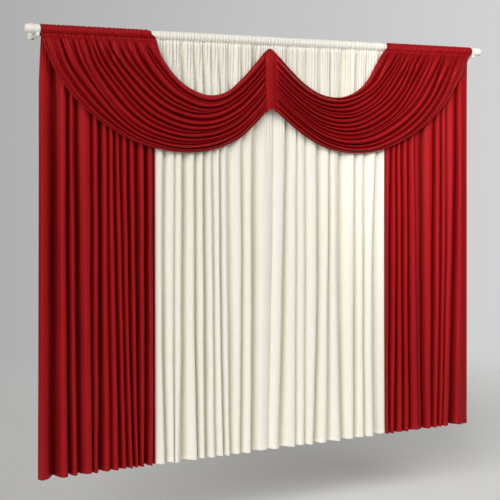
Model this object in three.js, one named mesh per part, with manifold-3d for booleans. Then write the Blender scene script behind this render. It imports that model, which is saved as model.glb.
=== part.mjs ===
import * as THREE from "three";
import { mergeVertices } from "three/addons/utils/BufferGeometryUtils.js";
import Module from "manifold-3d";

// A gathered window curtain with two attached swags, on its wall rod. Millimetres, +Z up.
// The origin lies on the wall, at the height of the rod. The curtain's front faces -Y.

// Driving dimensions
const CLOTH = 1.2;
const GAP = 0.3;
const HEM_Z = -1690;
const ROD_Y = -80;
const ROD_RADIUS = 14;
const ROD_WALL = 0.8;
const ROD_LEFT = -1024;
const ROD_RIGHT = 1047;
const ROUND_SIDES = 32;
const POCKET_RADIUS = 15.6;
const SWAG_POCKET_RADIUS = 17.2;
const SEAM_Z = -21;
const BRACKET_WIDTH = 18;
const BRACKET_LEFT_X = -1003;
const BRACKET_RIGHT_X = 1026;
const FINIAL_RADIUS = 17.5;
const SLEEVE_DEPTH = 12.3;

const RED = 0xa3161d;
const CREAM = 0xefece0;
const WHITE = 0xf1efe8;

// The eye that the fold places are read from. It stands left of the curtain and in front of it.
const EYE = { x: -2182, y: -4165, z: -480 };

// Where the folds of the three panels are read: below the swags, half way down and near the hem
const READ_Z = { top: -500, mid: -1000, low: -1640 };

// How much of its depth a fold has at each height: gathered small at the heading, full below.
// The side panels are flatter where they hang under the swags
const FOLD_GROWTH = [
  { z: SEAM_Z, shown: 0.1, hidden: 0.04 },
  { z: -60, shown: 0.5, hidden: 0.22 },
  { z: -200, shown: 0.64, hidden: 0.6 },
  { z: -520, shown: 0.88, hidden: 0.88 },
  { z: -1000, shown: 1.0, hidden: 1.0 },
  { z: HEM_Z, shown: 1.1, hidden: 1.1 },
];
const PANEL_LEVELS = [SEAM_Z, -60, -200, -520, -1000, -1400, HEM_Z];
const VALLEY_DEPTH = 2.3;

// Between this height and the heading a panel draws in to its place at the heading
const DRAW_IN_Z = -200;

// The cloth's line in the rod pocket, as angles round the rod from its front, over its top
const POCKET_ANGLES = [-30, 5, 40, 75, 110, 145, 180, 215];
const SEAM_FRONT = -4;
const POCKET_TAIL = { y: 4, z: -22 };
const SWAG_TAIL = { y: 5.3, z: -22.9 };

// The outside of a finial, from its open end to its round end: how far it lies inside the bead's
// radius, and how far along the rod
const FINIAL_OUTLINE = [
  { inset: 0.4, along: 0 },
  { inset: 0.4, along: 4 },
  { inset: 1.7, along: 5.5 },
  { inset: 1.7, along: 7 },
  { inset: 0, along: 9.5 },
  { inset: 0, along: 31 },
  { inset: 1.8, along: 35 },
  { inset: 6.5, along: 37.4 },
  { inset: FINIAL_RADIUS, along: 38 },
];

// A bracket: a ring round the rod, an arm below it and a plate on the wall
const ARM = { width: 12, top: -13, bottom: -31, front: -94, nose: 9, chamfer: 4 };
const PLATE = { width: 26, height: 64, thickness: 4, centreZ: -3, corner: 9 };
const RING_RADIUS = 18;
const CORNER_SIDES = 5;
const BORE_CUT_PROUD = 1;

// The edges of the panels: x at the three heights, and how far behind the rod's plane they hang
const OUTER_LEFT = { head: -989, top: -996, mid: -997, low: -999, back: 2 };
const SEAM_LEFT = { head: -548, top: -528, mid: -528, low: -527, back: 6 };
const SEAM_RIGHT = { head: 553, top: 549, mid: 549, low: 551, back: 5 };
const OUTER_RIGHT = { head: 999, top: 999, mid: 999, low: 998, back: -8 };

// One row per fold: x of its front ridge at the three heights, how far the ridge stands forward,
// the depth of the valley to its right, and how far along to the next ridge that valley lies
const LEFT_FOLDS = [
  { top: -975, mid: -975, low: -978, stand: 12, sink: 15, at: 0.55 },
  { top: -895, mid: -895, low: -888, stand: 15, sink: 12, at: 0.5 },
  { top: -866, mid: -860, low: -853, stand: 14, sink: 12, at: 0.3 },
  { top: -800, mid: -797, low: -790, stand: 15, sink: 7, at: 0.45 },
  { top: -770, mid: -767, low: -770, stand: 15, sink: 12, at: 0.45 },
  { top: -732, mid: -728, low: -722, stand: 13, sink: 4, at: 0.45 },
  { top: -706, mid: -697, low: -684, stand: 14, sink: 9, at: 0.45 },
  { top: -680, mid: -668, low: -652, stand: 11, sink: 6, at: 0.45 },
  { top: -650, mid: -643, low: -625, stand: 15, sink: 9, at: 0.45 },
  { top: -620, mid: -614, low: -602, stand: 13, sink: 11, at: 0.45 },
  { top: -580, mid: -577, low: -579, stand: 16, sink: 12, at: 0.45 },
  { top: -545, mid: -540, low: -541, stand: 12, sink: 7, at: 0.5 },
];
const CENTRE_FOLDS = [
  { top: -503, mid: -505, low: -494, stand: 13, sink: 10, at: 0.4 },
  { top: -451, mid: -454, low: -450, stand: 12, sink: 4, at: 0.45 },
  { top: -421, mid: -422, low: -432, stand: 14, sink: 12, at: 0.4 },
  { top: -365, mid: -364, low: -352, stand: 13, sink: 11, at: 0.45 },
  { top: -325, mid: -324, low: -318, stand: 14, sink: 12, at: 0.45 },
  { top: -288, mid: -282, low: -275, stand: 13, sink: 5, at: 0.45 },
  { top: -253, mid: -248, low: -236, stand: 14, sink: 9, at: 0.45 },
  { top: -224, mid: -219, low: -206, stand: 13, sink: 8, at: 0.4 },
  { top: -157, mid: -155, low: -160, stand: 14, sink: 8, at: 0.4 },
  { top: -107, mid: -108, low: -109, stand: 16, sink: 16, at: 0.3 },
  { top: -30, mid: -36, low: -42, stand: 5, sink: 2, at: 0.5 },
  { top: 46, mid: 33, low: 16, stand: 13, sink: 12, at: 0.4 },
  { top: 105, mid: 100, low: 98, stand: 11, sink: 4, at: 0.4 },
  { top: 138, mid: 140, low: 140, stand: 9, sink: 3, at: 0.4 },
  { top: 198, mid: 201, low: 186, stand: 14, sink: 12, at: 0.4 },
  { top: 262, mid: 258, low: 247, stand: 14, sink: 8, at: 0.45 },
  { top: 294, mid: 298, low: 313, stand: 14, sink: 10, at: 0.45 },
  { top: 388, mid: 386, low: 384, stand: 16, sink: 8, at: 0.4 },
  { top: 434, mid: 434, low: 438, stand: 13, sink: 7, at: 0.4 },
  { top: 493, mid: 476, low: 482, stand: 15, sink: 11, at: 0.45 },
];
const RIGHT_FOLDS = [
  { top: 575, mid: 568, low: 570, stand: 13, sink: 10, at: 0.45 },
  { top: 605, mid: 605, low: 596, stand: 14, sink: 9, at: 0.45 },
  { top: 632, mid: 637, low: 640, stand: 13, sink: 11, at: 0.45 },
  { top: 665, mid: 668, low: 670, stand: 14, sink: 8, at: 0.45 },
  { top: 706, mid: 712, low: 724, stand: 15, sink: 2, at: 0.5 },
  { top: 730, mid: 733, low: 742, stand: 3, sink: 14, at: 0.3 },
  { top: 803, mid: 796, low: 795, stand: 16, sink: 15, at: 0.45 },
  { top: 845, mid: 843, low: 830, stand: 14, sink: 11, at: 0.45 },
  { top: 876, mid: 872, low: 856, stand: 12, sink: 5, at: 0.45 },
  { top: 920, mid: 905, low: 883, stand: 13, sink: 15, at: 0.55 },
  { top: 968, mid: 966, low: 958, stand: 14, sink: -3, at: 0.5 },
];

// The two swags. Stations run from the rod to the middle: the upper edge and the lower edge.
const LEFT_STATIONS = [
  { upperX: -520, upperZ: -22, lowerX: -985, lowerZ: -22 },
  { upperX: -512, upperZ: -50, lowerX: -968, lowerZ: -75 },
  { upperX: -497, upperZ: -84, lowerX: -932, lowerZ: -158 },
  { upperX: -470, upperZ: -124, lowerX: -850, lowerZ: -262 },
  { upperX: -425, upperZ: -172, lowerX: -740, lowerZ: -352 },
  { upperX: -365, upperZ: -211, lowerX: -610, lowerZ: -420 },
  { upperX: -290, upperZ: -231, lowerX: -450, lowerZ: -459 },
  { upperX: -215, upperZ: -215, lowerX: -300, lowerZ: -455 },
  { upperX: -150, upperZ: -164, lowerX: -170, lowerZ: -412 },
  { upperX: -90, upperZ: -102, lowerX: -88, lowerZ: -348 },
  { upperX: -44, upperZ: -50, lowerX: -44, lowerZ: -304 },
  { upperX: -26, upperZ: -36, lowerX: -26, lowerZ: -289 },
];
const RIGHT_STATIONS = [
  { upperX: 543, upperZ: -22, lowerX: 1012, lowerZ: -22 },
  { upperX: 520, upperZ: -55, lowerX: 990, lowerZ: -72 },
  { upperX: 492, upperZ: -100, lowerX: 945, lowerZ: -150 },
  { upperX: 465, upperZ: -143, lowerX: 880, lowerZ: -240 },
  { upperX: 425, upperZ: -184, lowerX: 790, lowerZ: -324 },
  { upperX: 370, upperZ: -214, lowerX: 680, lowerZ: -393 },
  { upperX: 305, upperZ: -226, lowerX: 540, lowerZ: -448 },
  { upperX: 225, upperZ: -212, lowerX: 400, lowerZ: -464 },
  { upperX: 150, upperZ: -172, lowerX: 260, lowerZ: -444 },
  { upperX: 85, upperZ: -118, lowerX: 140, lowerZ: -386 },
  { upperX: 26, upperZ: -62, lowerX: 30, lowerZ: -305 },
  { upperX: 4, upperZ: -42, lowerX: 6, lowerZ: -286 },
];

// How much of its depth a swag's pleat has at each station
const PLEAT_GROWTH = [0.25, 0.85, 1, 1, 1, 1, 1, 1, 1, 0.95, 0.15, 0.04];
const PLEAT_DEPTH = 1.9;

// A pleat that is narrower than this, between the creases on its two sides, is flatter as well
const PLEAT_FULL_WIDTH = 20;

// The stations where the pleats are read, from the rod to the middle
const READ_STATIONS = [1, 3, 5, 7, 9];
const READ_STEP = READ_STATIONS[1] - READ_STATIONS[0];

// How far the swags' lower edge stands forward
const SWAG_HEM_STAND = 2;

// One row per pleat, from the upper edge (0) to the lower edge (1): its ridge at the five read
// stations, the crease below it, how far the ridge stands forward and how deep the crease is
const LEFT_PLEATS = [
  { ridge: [0.03, 0.02, 0.04, 0.06, 0.08], crease: [0.09, 0.07, 0.09, 0.13, 0.17], stand: 6, sink: 6 },
  { ridge: [0.14, 0.12, 0.15, 0.19, 0.22], crease: [0.19, 0.19, 0.2, 0.24, 0.28], stand: 7, sink: 8 },
  { ridge: [0.24, 0.23, 0.24, 0.28, 0.31], crease: [0.34, 0.31, 0.33, 0.32, 0.34], stand: 7, sink: 7 },
  { ridge: [0.4, 0.36, 0.37, 0.37, 0.4], crease: [0.43, 0.39, 0.42, 0.44, 0.45], stand: 7, sink: 8 },
  { ridge: [0.45, 0.43, 0.46, 0.51, 0.53], crease: [0.48, 0.46, 0.51, 0.55, 0.56], stand: 7, sink: 6 },
  { ridge: [0.51, 0.49, 0.54, 0.59, 0.59], crease: [0.55, 0.52, 0.59, 0.64, 0.62], stand: 7, sink: 7 },
  { ridge: [0.59, 0.6, 0.68, 0.7, 0.69], crease: [0.63, 0.65, 0.73, 0.76, 0.74], stand: 7, sink: 7 },
  { ridge: [0.67, 0.69, 0.77, 0.81, 0.82], crease: [0.75, 0.77, 0.85, 0.85, 0.86], stand: 8, sink: 8 },
  { ridge: [0.8, 0.79, 0.88, 0.89, 0.88], crease: [0.85, 0.85, 0.91, 0.94, 0.91], stand: 6, sink: 6 },
  { ridge: [0.88, 0.88, 0.94, 0.96, 0.94], crease: [0.91, 0.92, 0.96, 0.975, 0.965], stand: 7, sink: 4 },
];
const RIGHT_PLEATS = [
  { ridge: [0.03, 0.04, 0.02, 0.02, 0.02], crease: [0.08, 0.075, 0.045, 0.035, 0.035], stand: 5, sink: 6 },
  { ridge: [0.13, 0.12, 0.08, 0.07, 0.09], crease: [0.18, 0.185, 0.11, 0.13, 0.15], stand: 7, sink: 7 },
  { ridge: [0.21, 0.205, 0.21, 0.2, 0.22], crease: [0.27, 0.27, 0.3, 0.28, 0.28], stand: 7, sink: 7 },
  { ridge: [0.31, 0.3, 0.325, 0.35, 0.34], crease: [0.34, 0.33, 0.355, 0.4, 0.385], stand: 7, sink: 8 },
  { ridge: [0.36, 0.36, 0.38, 0.43, 0.42], crease: [0.38, 0.39, 0.42, 0.49, 0.475], stand: 7, sink: 6 },
  { ridge: [0.42, 0.42, 0.46, 0.53, 0.51], crease: [0.5, 0.5, 0.57, 0.57, 0.545], stand: 7, sink: 8 },
  { ridge: [0.525, 0.525, 0.6, 0.6, 0.57], crease: [0.56, 0.56, 0.63, 0.63, 0.59], stand: 7, sink: 7 },
  { ridge: [0.59, 0.6, 0.655, 0.68, 0.63], crease: [0.675, 0.68, 0.705, 0.755, 0.69], stand: 7, sink: 8 },
  { ridge: [0.71, 0.73, 0.78, 0.79, 0.74], crease: [0.76, 0.765, 0.81, 0.86, 0.79], stand: 7, sink: 7 },
  { ridge: [0.79, 0.8, 0.85, 0.88, 0.83], crease: [0.82, 0.84, 0.88, 0.905, 0.86], stand: 6, sink: 6 },
  { ridge: [0.85, 0.87, 0.92, 0.94, 0.92], crease: [0.885, 0.915, 0.955, 0.97, 0.96], stand: 8, sink: 5 },
];

// The ends of the swags' own rod pockets: the inner end slants from the rod's top to the seam
const LEFT_SWAG_POCKET = { innerTop: -558, innerSeam: -530, outer: -993 };
const RIGHT_SWAG_POCKET = { innerTop: 567, innerSeam: 543, outer: 1015 };
const SLANT_TOP_Z = 16;
const SLANT_HEIGHT = 26;

// How far forward the swags hang at each height
const SWAG_HANG = [
  { z: -22, y: -91 },
  { z: -45, y: -100.2 },
  { z: -70, y: -105.7 },
  { z: -110, y: -109.7 },
  { z: -150, y: -111.2 },
  { z: -480, y: -112 },
];

// The gathered tab that the swags meet under: its upper and lower edge across its width
const TAB_COLUMNS = [
  { upperX: -37, lowerX: -32, upperZ: -45, lowerZ: -297, crown: 0 },
  { upperX: -28, lowerX: -22, upperZ: -36, lowerZ: -288, crown: 3.6 },
  { upperX: -17, lowerX: -10, upperZ: -31, lowerZ: -281, crown: 4.6 },
  { upperX: -4, lowerX: 3, upperZ: -36, lowerZ: -284, crown: 3.6 },
  { upperX: 9, lowerX: 15, upperZ: -48, lowerZ: -296, crown: 0 },
];
const TAB_ROWS = [0, 0.1, 0.25, 0.4, 0.55, 0.7, 0.85, 1];
const TAB_PROUD = 3.4;
const TAB_TOP_CROWN = 0.5;

// Where a fold is so sharp that its offset would run away, it is held at this slant
const LEAST_SLANT = 0.35;
const WELD_DISTANCE = 1e-4;

const lerp = (a, b, t) => a + (b - a) * t;

// Reads a list of rows that hold a z and a value, and goes straight between its rows
function between(rows, key, z) {
  for (let i = 1; i < rows.length; i++) {
    if (z >= rows[i].z || i === rows.length - 1) {
      const t = (rows[i - 1].z - z) / (rows[i - 1].z - rows[i].z);
      return lerp(rows[i - 1][key], rows[i][key], Math.max(0, t));
    }
  }
  return rows[0][key];
}

// Moves a place read on the rod's plane along its line of sight to its real depth y
function atDepth(value, eyeValue, y) {
  return eyeValue + (value - eyeValue) * (y - EYE.y) / (ROD_Y - EYE.y);
}

// How far an edge of a panel is drawn along the rod at a height
function drawnIn(edge, z) {
  return (edge.head - edge.top) * Math.max(0, (z - DRAW_IN_Z) / (SEAM_Z - DRAW_IN_Z));
}

// The x of a fold or edge at a height, read on the rod's plane, before it is drawn in
function readX(row, z) {
  if (z >= READ_Z.top) return row.top;
  if (z >= READ_Z.mid) return lerp(row.top, row.mid, (READ_Z.top - z) / (READ_Z.top - READ_Z.mid));
  return lerp(row.mid, row.low, (READ_Z.mid - z) / (READ_Z.mid - READ_Z.low));
}

// One closed solid of cloth round a grid of points on its middle surface. Each point is offset
// both ways along its normal, far enough that the flanks of a fold keep the cloth's thickness.
function clothSolid(grid, squareEnds) {
  const rows = grid.length;
  const columns = grid[0].length;
  const facets = [];
  for (let i = 0; i < rows - 1; i++) {
    facets.push([]);
    for (let j = 0; j < columns - 1; j++) {
      const across = grid[i + 1][j + 1].clone().sub(grid[i][j]);
      const back = grid[i + 1][j].clone().sub(grid[i][j + 1]);
      facets[i].push(across.cross(back).normalize());
    }
  }
  const positions = [];
  for (const side of [1, -1]) {
    for (let i = 0; i < rows; i++) {
      for (let j = 0; j < columns; j++) {
        const near = [];
        for (const a of [i - 1, i]) {
          for (const b of [j - 1, j]) {
            if (facets[a]?.[b]) near.push(facets[a][b]);
          }
        }
        const normal = near.reduce((sum, facet) => sum.add(facet), new THREE.Vector3());
        if (squareEnds && (j === 0 || j === columns - 1)) normal.x = 0;
        normal.normalize();
        const slant = near.reduce((sum, facet) => sum + facet.dot(normal), 0) / near.length;
        const offset = CLOTH / 2 / Math.max(slant, LEAST_SLANT);
        const point = grid[i][j].clone().addScaledVector(normal, side * offset);
        positions.push(point.x, point.y, point.z);
      }
    }
  }
  const front = (i, j) => i * columns + j;
  const rear = (i, j) => rows * columns + i * columns + j;
  const faces = [];
  const quad = (a, b, c, d) => faces.push(a, b, c, a, c, d);
  for (let i = 0; i < rows - 1; i++) {
    for (let j = 0; j < columns - 1; j++) {
      quad(front(i, j), front(i + 1, j), front(i + 1, j + 1), front(i, j + 1));
      quad(rear(i, j), rear(i, j + 1), rear(i + 1, j + 1), rear(i + 1, j));
    }
    quad(front(i, 0), rear(i, 0), rear(i + 1, 0), front(i + 1, 0));
    const end = columns - 1;
    quad(front(i, end), front(i + 1, end), rear(i + 1, end), rear(i, end));
  }
  for (let j = 0; j < columns - 1; j++) {
    quad(front(0, j), front(0, j + 1), rear(0, j + 1), rear(0, j));
    const end = rows - 1;
    quad(front(end, j), rear(end, j), rear(end, j + 1), front(end, j + 1));
  }
  const geometry = new THREE.BufferGeometry();
  geometry.setAttribute("position", new THREE.Float32BufferAttribute(positions, 3));
  geometry.setIndex(faces);
  return facedOutward(geometry);
}

// Turns a closed mesh's faces to point out
function facedOutward(geometry) {
  const place = geometry.getAttribute("position");
  const index = geometry.getIndex();
  const corner = [0, 1, 2].map(() => new THREE.Vector3());
  let volume = 0;
  for (let i = 0; i < index.count; i += 3) {
    corner.forEach((point, k) => point.fromBufferAttribute(place, index.getX(i + k)));
    volume += corner[0].dot(corner[1].clone().cross(corner[2]));
  }
  if (volume < 0) {
    for (let i = 0; i < index.count; i += 3) {
      const second = index.getX(i + 1);
      index.setX(i + 1, index.getX(i + 2));
      index.setX(i + 2, second);
    }
  }
  geometry.computeVertexNormals();
  return geometry;
}

// The rod pocket's line, from its tail behind the rod, over the top, down to its front
function pocketLine(radius, tail) {
  const line = [new THREE.Vector3(0, ROD_Y + tail.y, tail.z)];
  for (const degrees of [...POCKET_ANGLES].reverse()) {
    const angle = THREE.MathUtils.degToRad(degrees);
    line.push(new THREE.Vector3(0, ROD_Y - radius * Math.cos(angle), radius * Math.sin(angle)));
  }
  return line;
}

// One panel: its rod pocket, and its folds down to the hem
function panelSolid(folds, growth, leftEdge, rightEdge, leftTrim, rightTrim) {
  const levels = PANEL_LEVELS.map((z) => {
    const share = between(FOLD_GROWTH, growth, z);
    const edgeShare = between(FOLD_GROWTH, "hidden", z);
    const hang = z === SEAM_Z ? SEAM_FRONT : 0;
    const ridges = folds.map((fold) => {
      const y = ROD_Y - share * fold.stand;
      const along = (fold.top - leftEdge.top) / (rightEdge.top - leftEdge.top);
      const pull = lerp(drawnIn(leftEdge, z), drawnIn(rightEdge, z), along);
      return new THREE.Vector3(atDepth(readX(fold, z) + pull, EYE.x, y), y + hang, z);
    });
    const edge = (row, trim) => {
      const y = ROD_Y + edgeShare * row.back;
      return new THREE.Vector3(atDepth(readX(row, z) + drawnIn(row, z), EYE.x, y) + trim, y + hang, z);
    };
    const last = edge(rightEdge, rightTrim);
    const line = [edge(leftEdge, leftTrim)];
    ridges.forEach((ridge, i) => {
      const next = ridges[i + 1] ?? last;
      const valleyX = lerp(ridge.x, next.x, folds[i].at);
      const valleyY = ROD_Y + hang + share * VALLEY_DEPTH * folds[i].sink;
      line.push(ridge, new THREE.Vector3(valleyX, valleyY, z));
    });
    line.push(last);
    return line;
  });
  const pocket = pocketLine(POCKET_RADIUS, POCKET_TAIL).map((place) =>
    levels[0].map((point) => new THREE.Vector3(point.x, place.y, place.z)));
  return clothSolid([...pocket, ...levels], true);
}

// Reads a pleat's place at a station
function pleatAt(values, station) {
  const first = READ_STATIONS[0];
  const last = READ_STATIONS[READ_STATIONS.length - 1];
  const place = Math.min(Math.max(station, first), last);
  const i = Math.min(Math.floor((place - first) / READ_STEP), values.length - 2);
  return lerp(values[i], values[i + 1], (place - READ_STATIONS[i]) / READ_STEP);
}

// One swag: its own pocket over the panel's, and its pleats down and across to the middle
function swagSolid(stations, pleats, pocketEnds) {
  const rows = stations.map((station, s) => {
    const places = [{ v: 0, forward: 0 }];
    for (const pleat of pleats) {
      places.push({ v: pleatAt(pleat.ridge, s), forward: pleat.stand });
      places.push({ v: pleatAt(pleat.crease, s), forward: -pleat.sink });
    }
    places.push({ v: 1, forward: SWAG_HEM_STAND });
    const spread = Math.hypot(station.lowerX - station.upperX, station.lowerZ - station.upperZ);
    return places.map(({ v, forward }, k) => {
      const before = places[Math.max(k - 1, 0)].v;
      const after = places[Math.min(k + 1, places.length - 1)].v;
      const depth = PLEAT_DEPTH * PLEAT_GROWTH[s] * Math.min(1, (after - before) * spread / PLEAT_FULL_WIDTH);
      const readPlaceX = lerp(station.upperX, station.lowerX, v);
      const readPlaceZ = lerp(station.upperZ, station.lowerZ, v);
      const y = between(SWAG_HANG, "y", readPlaceZ) - depth * forward;
      const x = atDepth(readPlaceX, EYE.x, y);
      return new THREE.Vector3(x, y, atDepth(readPlaceZ, EYE.z, y));
    });
  });
  const shares = [0];
  for (const pleat of pleats) shares.push(pleatAt(pleat.ridge, 0), pleatAt(pleat.crease, 0));
  shares.push(1);
  const pocket = pocketLine(SWAG_POCKET_RADIUS, SWAG_TAIL).map((place) => {
    const down = place.y < ROD_Y ? Math.min(Math.max((SLANT_TOP_Z - place.z) / SLANT_HEIGHT, 0), 1) : 0;
    const inner = lerp(pocketEnds.innerTop, pocketEnds.innerSeam, down * down);
    return shares.map((v) => new THREE.Vector3(lerp(inner, pocketEnds.outer, v), place.y, place.z));
  });
  return clothSolid([...pocket, ...rows], false);
}

// The tab: a crowned strip in front of the swags' ends, turned back to the heading at its top
function tabSolid() {
  const rows = TAB_ROWS.map((t, i) => TAB_COLUMNS.map((column) => {
    const readPlaceZ = lerp(column.upperZ, column.lowerZ, t);
    const crown = i === 0 ? column.crown * TAB_TOP_CROWN : column.crown;
    const y = between(SWAG_HANG, "y", readPlaceZ) - TAB_PROUD - crown;
    const readPlaceX = lerp(column.upperX, column.lowerX, t);
    return new THREE.Vector3(atDepth(readPlaceX, EYE.x, y), y, atDepth(readPlaceZ, EYE.z, y));
  }));
  return clothSolid(rows, false);
}

// A closed ring or plug turned about the rod's axis from a half profile of radius and x
function turned(profile) {
  const points = profile.map(([radius, x]) => new THREE.Vector2(radius, x));
  const geometry = new THREE.LatheGeometry(points, ROUND_SIDES);
  geometry.rotateZ(-Math.PI / 2);
  geometry.translate(0, ROD_Y, 0);
  return weld(geometry);
}

// Keeps only the positions of a mesh and merges those that coincide
function weld(geometry) {
  geometry.deleteAttribute("normal");
  geometry.deleteAttribute("uv");
  return facedOutward(mergeVertices(geometry, WELD_DISTANCE));
}

const wasm = await Module();
wasm.setup();

function toManifold(geometry) {
  return new wasm.Manifold(new wasm.Mesh({
    numProp: 3,
    vertProperties: new Float32Array(geometry.getAttribute("position").array),
    triVerts: new Uint32Array(geometry.getIndex().array),
  }));
}

function toGeometry(solid) {
  const mesh = solid.getMesh();
  const geometry = new THREE.BufferGeometry();
  geometry.setAttribute("position", new THREE.BufferAttribute(mesh.vertProperties, 3));
  geometry.setIndex(new THREE.BufferAttribute(mesh.triVerts, 1));
  geometry.computeVertexNormals();
  return geometry;
}

// A tube of two radii about the rod's axis
function tube(inner, outer, from, to) {
  return turned([[inner, from], [outer, from], [outer, to], [inner, to], [inner, from]]);
}

// A finial: a sleeve over the end of the rod, a groove and a round-ended bead
function finial(startX, direction) {
  const bore = ROD_RADIUS + GAP;
  const sleeve = [[0, SLEEVE_DEPTH], [bore, SLEEVE_DEPTH], [bore, 0]];
  const outline = FINIAL_OUTLINE.map(({ inset, along }) => [FINIAL_RADIUS - inset, along]);
  return turned([...sleeve, ...outline].map(([radius, x]) => [radius, startX + direction * x]));
}

function extruded(shape, depth) {
  return new THREE.ExtrudeGeometry(shape, { depth, bevelEnabled: false, curveSegments: CORNER_SIDES });
}

function roundedBox(width, height, radius) {
  const shape = new THREE.Shape();
  const x = width / 2;
  const y = height / 2;
  shape.moveTo(-x + radius, -y);
  shape.lineTo(x - radius, -y);
  shape.absarc(x - radius, -y + radius, radius, -Math.PI / 2, 0);
  shape.lineTo(x, y - radius);
  shape.absarc(x - radius, y - radius, radius, 0, Math.PI / 2);
  shape.lineTo(-x + radius, y);
  shape.absarc(-x + radius, y - radius, radius, Math.PI / 2, Math.PI);
  shape.lineTo(-x, -y + radius);
  shape.absarc(-x + radius, -y + radius, radius, Math.PI, Math.PI * 1.5);
  return shape;
}

function bracket(centreX) {
  const half = BRACKET_WIDTH / 2;
  const ring = tube(ROD_RADIUS + GAP, RING_RADIUS, centreX - half, centreX + half);
  const cut = half + BORE_CUT_PROUD;
  const bore = tube(0, ROD_RADIUS + GAP, centreX - cut, centreX + cut);
  const side = new THREE.Shape();
  side.moveTo(-PLATE.thickness / 2, ARM.bottom);
  side.lineTo(-PLATE.thickness / 2, ARM.top);
  side.lineTo(ARM.front + ARM.chamfer, ARM.top);
  side.lineTo(ARM.front, ARM.top - ARM.chamfer);
  side.absarc(ARM.front + ARM.nose, ARM.bottom + ARM.nose, ARM.nose, Math.PI, Math.PI * 1.5);
  const arm = extruded(side, ARM.width);
  arm.translate(0, 0, -ARM.width / 2);
  arm.rotateY(Math.PI / 2);
  arm.rotateX(Math.PI / 2);
  arm.translate(centreX, 0, 0);
  const plate = extruded(roundedBox(PLATE.width, PLATE.height, PLATE.corner), PLATE.thickness);
  plate.rotateX(Math.PI / 2);
  plate.translate(centreX, 0, PLATE.centreZ);
  return toGeometry(toManifold(ring)
    .add(toManifold(weld(arm)))
    .add(toManifold(weld(plate)))
    .subtract(toManifold(bore)));
}

// Materials
const redCloth = new THREE.MeshStandardMaterial({ color: RED, roughness: 0.62, metalness: 0 });
const creamCloth = new THREE.MeshStandardMaterial({ color: CREAM, roughness: 0.68, metalness: 0 });
const whitePaint = new THREE.MeshStandardMaterial({ color: WHITE, roughness: 0.4, metalness: 0 });
const whitePlastic = new THREE.MeshStandardMaterial({ color: WHITE, roughness: 0.45, metalness: 0 });

// The assembly
const curtain = new THREE.Group();

function add(name, geometry, material) {
  const mesh = new THREE.Mesh(geometry, material);
  mesh.name = name;
  curtain.add(mesh);
}

const seamTrim = GAP / 2;
const ringFace = BRACKET_WIDTH / 2 + GAP;

add("rod", tube(ROD_RADIUS - ROD_WALL, ROD_RADIUS, ROD_LEFT, ROD_RIGHT), whitePaint);
add("bracket_left", bracket(BRACKET_LEFT_X), whitePlastic);
add("bracket_right", bracket(BRACKET_RIGHT_X), whitePlastic);
add("finial_left", finial(BRACKET_LEFT_X - ringFace, -1), whitePlastic);
add("finial_right", finial(BRACKET_RIGHT_X + ringFace, 1), whitePlastic);
const leftPanel = panelSolid(LEFT_FOLDS, "hidden", OUTER_LEFT, SEAM_LEFT, 0, -seamTrim);
const centrePanel = panelSolid(CENTRE_FOLDS, "shown", SEAM_LEFT, SEAM_RIGHT, seamTrim, -seamTrim);
const rightPanel = panelSolid(RIGHT_FOLDS, "hidden", SEAM_RIGHT, OUTER_RIGHT, seamTrim, 0);
add("panel_left", leftPanel, redCloth);
add("panel_centre", centrePanel, creamCloth);
add("panel_right", rightPanel, redCloth);
add("swag_left", swagSolid(LEFT_STATIONS, LEFT_PLEATS, LEFT_SWAG_POCKET), redCloth);
add("swag_right", swagSolid(RIGHT_STATIONS, RIGHT_PLEATS, RIGHT_SWAG_POCKET), redCloth);
add("swag_tab", tabSolid(), redCloth);

export default curtain;
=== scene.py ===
import math
import random
from collections import namedtuple

import bmesh
import bpy
import numpy as np
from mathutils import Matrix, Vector


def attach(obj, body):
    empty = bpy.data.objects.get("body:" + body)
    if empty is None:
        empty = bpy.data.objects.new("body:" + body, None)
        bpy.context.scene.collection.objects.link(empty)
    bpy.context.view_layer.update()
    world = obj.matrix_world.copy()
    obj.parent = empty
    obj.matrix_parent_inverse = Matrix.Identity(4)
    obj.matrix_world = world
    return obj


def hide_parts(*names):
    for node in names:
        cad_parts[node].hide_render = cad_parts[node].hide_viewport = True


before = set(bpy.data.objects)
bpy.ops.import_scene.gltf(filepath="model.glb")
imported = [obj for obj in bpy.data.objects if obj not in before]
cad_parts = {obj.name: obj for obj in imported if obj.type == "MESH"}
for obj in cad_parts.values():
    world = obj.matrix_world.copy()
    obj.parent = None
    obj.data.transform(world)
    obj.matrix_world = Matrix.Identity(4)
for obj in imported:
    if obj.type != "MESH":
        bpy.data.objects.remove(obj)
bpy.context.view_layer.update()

# A gathered window curtain with two attached swags, on its wall rod.
# Sizes are millimetres in the row frame unless a comment says metres, and every mesh is made in metres.
MM = 0.001

# Camera: the eye stands left of the curtain, half a metre below the rod, and looks to the right
EYE = Vector((-2182, -4165, -480))
EYE_TURN = math.radians(-26.908)
LENS, SENSOR = 80.35, 36
SHIFT_DOWN = -0.186

# Driving sizes; the floor's reach is in metres
ROD_Y = -80
CLOTH = 0.9
SEAM_Z = -21
HEM_Z = -1690
HEM_DEPTH = 20
FLOOR_Z = -2000
FLOOR_REACH = 5.0

# The rod pockets of the panels and of the swags: radius of the cloth round the rod, where the
# turned-back tail ends behind the rod, pitch of the puckers, how much further they stand out at the
# seam, and the length of cloth over the rod in metres
Pocket = namedtuple("Pocket", "radius tail_y tail_z pitch bulge length")
PANEL_POCKET = Pocket(15.6, 4, -22, 13, 1.2, 0.098)
SWAG_POCKET = Pocket(17.2, 5.3, -22.9, 13.5, 1.4, 0.107)

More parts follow.
